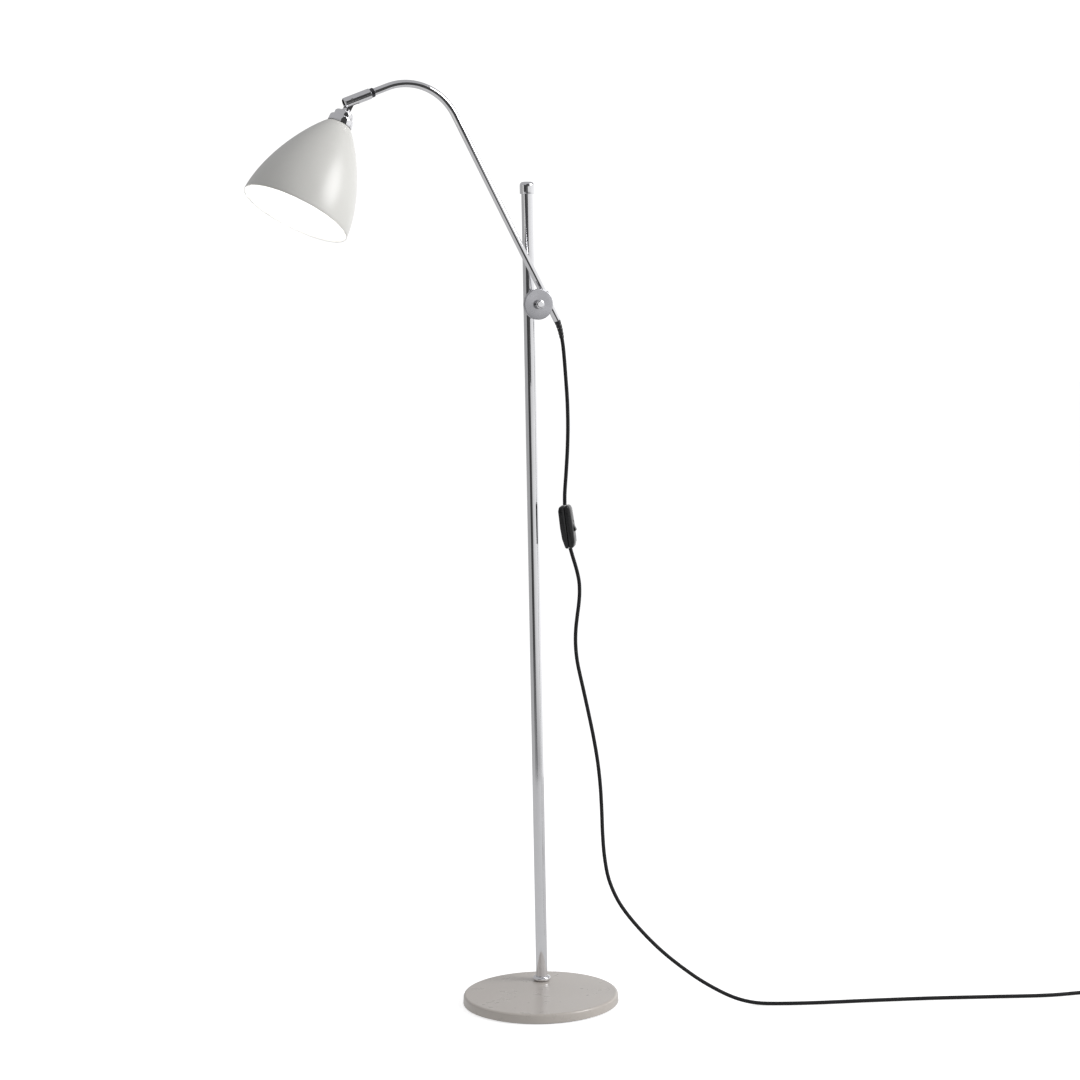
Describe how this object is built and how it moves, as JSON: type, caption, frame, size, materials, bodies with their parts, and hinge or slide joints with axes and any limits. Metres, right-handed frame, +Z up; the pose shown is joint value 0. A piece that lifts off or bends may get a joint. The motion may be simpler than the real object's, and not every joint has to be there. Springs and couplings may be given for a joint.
{
  "type": "adjustable arm floor lamp",
  "caption": "Free-standing floor lamp: weighted round base, slim pole, sliding swivel clamp, angled arm with a curved tip, tilting bell-shaped shade, and a mains lead with an inline switch.",
  "frame": {"origin": "where the pole's axis meets the floor; the base's centre is 60 mm from it, towards -Y", "axes": "+Z up along the pole; +X towards the side away from the shade; -Y towards the knob and the viewer"},
  "size_m": [1.1558, 0.5609, 1.2691],
  "materials": {
    "paint": "warm light grey semi-gloss paint",
    "enamel": "glossy warm off-white enamel",
    "chrome": "bright plate",
    "satin": "fine-turned satin face",
    "steel": "plain zinc-plated steel",
    "iron": "raw casting",
    "brass": "plain",
    "black": "satin black moulding",
    "cord": "satin black flexible sheath",
    "felt": "dark felt",
    "nylon": "natural nylon",
    "ceramic": "off-white lampholder body",
    "glass": "frosted bulb"
  },
  "bodies": {
    "stand": {"foot_pad": "felt", "base_weight": "iron", "base_cover": "paint", "base_bolt": "steel", "base_washer": "steel", "pole_insert": "steel", "pole_collar": "chrome", "pole": "chrome", "pole_cap": "chrome", "cord_to_floor": "cord", "cord_coil": "cord", "cord_to_plug": "cord", "plug_body": "black", "plug_pin_1": "brass", "plug_pin_2": "brass"},
    "carrier": {"slide_liner": "nylon"},
    "clamp": {"clamp_ring": "chrome", "pressure_pad": "brass", "clamp_stud": "steel", "rear_washer": "black", "switch_front": "black", "switch_back": "black", "switch_screw_1": "steel", "switch_screw_2": "steel", "switch_contact_1": "brass", "switch_contact_2": "brass", "cord_below_switch": "cord"},
    "rocker": {"switch_rocker": "black"},
    "knob": {"clamp_disc": "satin", "cap_nut": "chrome"},
    "arm": {"arm_holder": "chrome", "holder_screw": "steel", "arm_tube": "chrome", "inner_cable": "cord", "cord_boot": "black", "tip_collar": "chrome", "spring_washer": "steel", "cord_to_switch": "cord"},
    "socket": {"tip_socket": "chrome", "hinge_pin": "steel", "socket_screw": "steel"},
    "head": {"shade_stem": "chrome", "holder_cap": "chrome", "stem_nut": "steel", "shade": "enamel", "lampholder": "ceramic", "lampholder_ring": "black", "lampholder_contact": "brass", "bulb_cap": "brass", "bulb_glass": "glass"}
  },
  "joints": [
    {"name": "height", "type": "slide", "parent": "stand", "child": "carrier", "axis": [0, 0, 1], "range_m": [-0.22, 0.13], "deforming": ["cord_to_floor"]},
    {"name": "swivel", "type": "hinge", "parent": "carrier", "child": "clamp", "pos_m": [0, 0, 0.9675], "axis": [0, 0, 1], "range_deg": [-170, 170], "deforming": ["cord_below_switch"]},
    {"name": "rocker_switch", "type": "hinge", "parent": "clamp", "child": "rocker", "pos_m": [0.04455, -0.03523, 0.66132], "axis": [0.5, 0.866, 0.0051], "range_deg": [0, 14]},
    {"name": "knob_turn", "type": "hinge", "parent": "clamp", "child": "knob", "pos_m": [0, -0.033, 0.9675], "axis": [0, -1, 0], "range_deg": [-270, 45]},
    {"name": "arm_tilt", "type": "hinge", "parent": "clamp", "child": "arm", "pos_m": [0, -0.0212, 0.9675], "axis": [0, -1, 0], "range_deg": [-25, 75], "deforming": ["cord_to_switch"]},
    {"name": "tip_turn", "type": "hinge", "parent": "arm", "child": "socket", "pos_m": [-0.20534, -0.0212, 1.25946], "axis": [-0.9397, 0, -0.342], "range_deg": [-160, 160]},
    {"name": "head_tilt", "type": "hinge", "parent": "socket", "child": "head", "pos_m": [-0.25608, -0.0212, 1.24099], "axis": [-0.0588, -0.9851, 0.1616], "range_deg": [-20, 60]}
  ]
}
